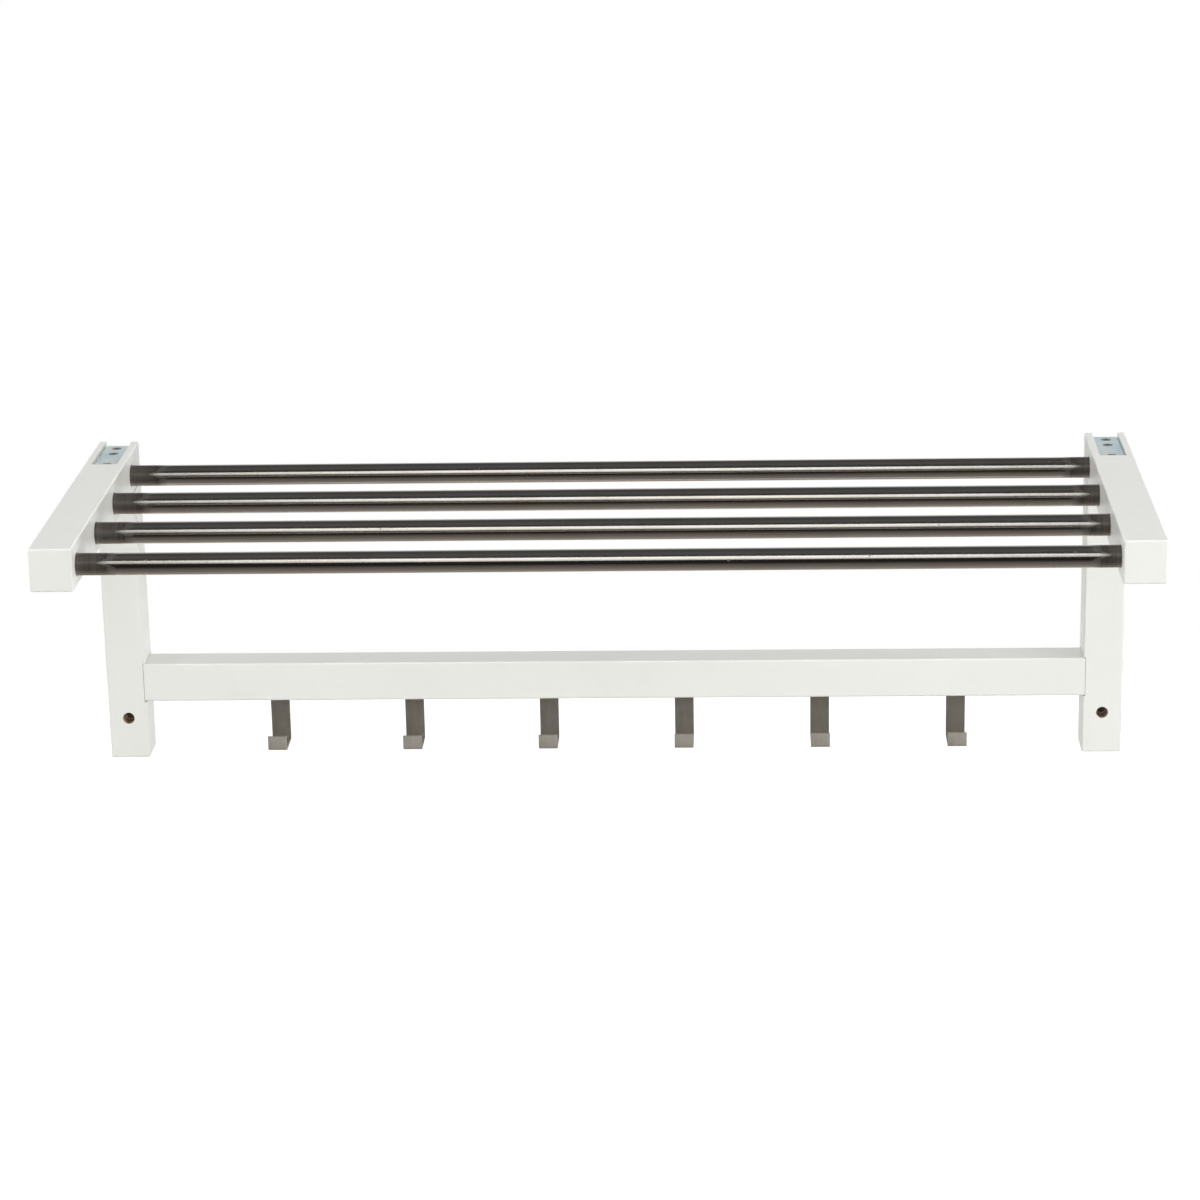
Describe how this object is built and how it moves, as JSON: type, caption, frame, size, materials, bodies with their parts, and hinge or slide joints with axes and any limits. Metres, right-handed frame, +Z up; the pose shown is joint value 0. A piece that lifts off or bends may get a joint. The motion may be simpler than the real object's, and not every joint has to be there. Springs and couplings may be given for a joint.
{
  "type": "wall hook rack",
  "caption": "Wall-hung hat shelf of round steel tubes between painted timber arms on posts, with a rail of bent steel coat hooks below.",
  "frame": {"origin": "on the wall plane, midway between the posts, level with the tops of the arms", "axes": "+X along the rail to the viewer's right, +Y into the wall, +Z up; the rack reaches out along -Y"},
  "size_m": [0.8, 0.3, 0.252],
  "materials": {
    "white_paint": "white satin paint on solid wood",
    "polished_steel": "polished stainless tube",
    "brushed_steel": "brushed stainless strip",
    "zinc_plate": "pale blue-green zinc plate",
    "screw_steel": "zinc-plated steel",
    "beech": "bare wood",
    "nylon": "moulded"
  },
  "bodies": {
    "root": {"arm_left": "white_paint", "post_left": "white_paint", "arm_right": "white_paint", "post_right": "white_paint", "hook_rail": "white_paint", "tube_1": "polished_steel", "tube_2": "polished_steel", "tube_3": "polished_steel", "tube_4": "polished_steel", "hook_1": "brushed_steel", "hook_2": "brushed_steel", "hook_3": "brushed_steel", "hook_4": "brushed_steel", "hook_5": "brushed_steel", "hook_6": "brushed_steel", "corner_bracket_left": "zinc_plate", "bracket_screw_left_1": "screw_steel", "bracket_screw_left_2": "screw_steel", "bracket_screw_left_3": "screw_steel", "bracket_screw_left_rear": "screw_steel", "arm_dowel_left_1": "beech", "arm_dowel_left_2": "beech", "rail_dowel_left": "beech", "tube_plug_left_1": "nylon", "tube_screw_left_1": "screw_steel", "tube_plug_left_2": "nylon", "tube_screw_left_2": "screw_steel", "tube_plug_left_3": "nylon", "tube_screw_left_3": "screw_steel", "tube_plug_left_4": "nylon", "tube_screw_left_4": "screw_steel", "corner_bracket_right": "zinc_plate", "bracket_screw_right_1": "screw_steel", "bracket_screw_right_2": "screw_steel", "bracket_screw_right_3": "screw_steel", "bracket_screw_right_rear": "screw_steel", "arm_dowel_right_1": "beech", "arm_dowel_right_2": "beech", "rail_dowel_right": "beech", "tube_plug_right_1": "nylon", "tube_screw_right_1": "screw_steel", "tube_plug_right_2": "nylon", "tube_screw_right_2": "screw_steel", "tube_plug_right_3": "nylon", "tube_screw_right_3": "screw_steel", "tube_plug_right_4": "nylon", "tube_screw_right_4": "screw_steel", "hook_screw_1_lower": "screw_steel", "hook_screw_1_upper": "screw_steel", "hook_screw_2_lower": "screw_steel", "hook_screw_2_upper": "screw_steel", "hook_screw_3_lower": "screw_steel", "hook_screw_3_upper": "screw_steel", "hook_screw_4_lower": "screw_steel", "hook_screw_4_upper": "screw_steel", "hook_screw_5_lower": "screw_steel", "hook_screw_5_upper": "screw_steel", "hook_screw_6_lower": "screw_steel", "hook_screw_6_upper": "screw_steel"}
  },
  "joints": []
}
